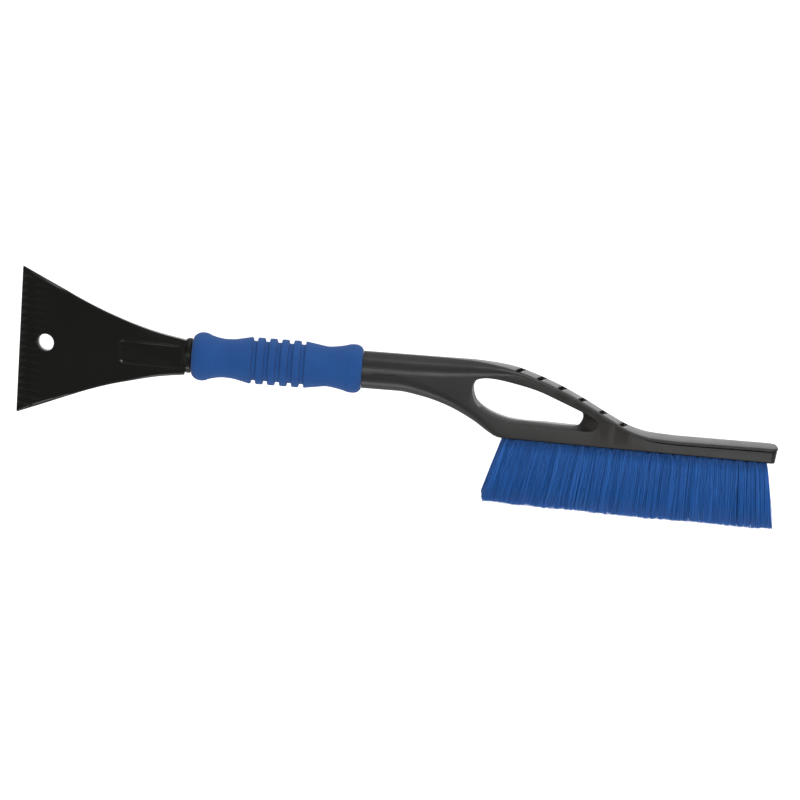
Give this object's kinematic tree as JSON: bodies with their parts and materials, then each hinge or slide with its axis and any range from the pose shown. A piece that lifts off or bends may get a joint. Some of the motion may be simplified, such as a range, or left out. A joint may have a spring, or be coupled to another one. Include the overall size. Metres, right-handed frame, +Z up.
{
  "type": "ice scraper with snow brush",
  "caption": "Long-handled windshield ice scraper: flared ribbed blade with a hang hole, foam grip, finger loop and a brush block with fanned bristle tufts.",
  "frame": {"origin": "middle of the bounding box's underside, on the surface that the tool lies on", "axes": "+X along the tool from the scraper's edge to the brush's tip, +Y towards the back of the handle (bristles point to -Y), +Z up from the surface"},
  "size_m": [0.5884, 0.1554, 0.0374],
  "materials": {
    "handle_plastic": "satin black moulded plastic with a fine texture",
    "blade_plastic": "glossy black moulded plastic",
    "grip_foam": "matte blue closed-cell foam",
    "pin_steel": "plain ground steel pin",
    "bristles": "blue crimped synthetic bristle"
  },
  "bodies": {
    "root": {"handle": "handle_plastic", "scraper_head": "blade_plastic", "foam_grip": "grip_foam", "head_pin": "pin_steel", "tuft_column_01": "bristles", "tuft_column_02": "bristles", "tuft_column_03": "bristles", "tuft_column_04": "bristles", "tuft_column_05": "bristles", "tuft_column_06": "bristles", "tuft_column_07": "bristles", "tuft_column_08": "bristles", "tuft_column_09": "bristles", "tuft_column_10": "bristles", "tuft_column_11": "bristles", "tuft_column_12": "bristles", "tuft_column_13": "bristles", "tuft_column_14": "bristles", "tuft_column_15": "bristles", "tuft_column_16": "bristles", "tuft_column_17": "bristles", "tuft_column_18": "bristles", "tuft_column_19": "bristles", "tuft_column_20": "bristles", "tuft_column_21": "bristles", "tuft_column_22": "bristles"}
  },
  "joints": []
}
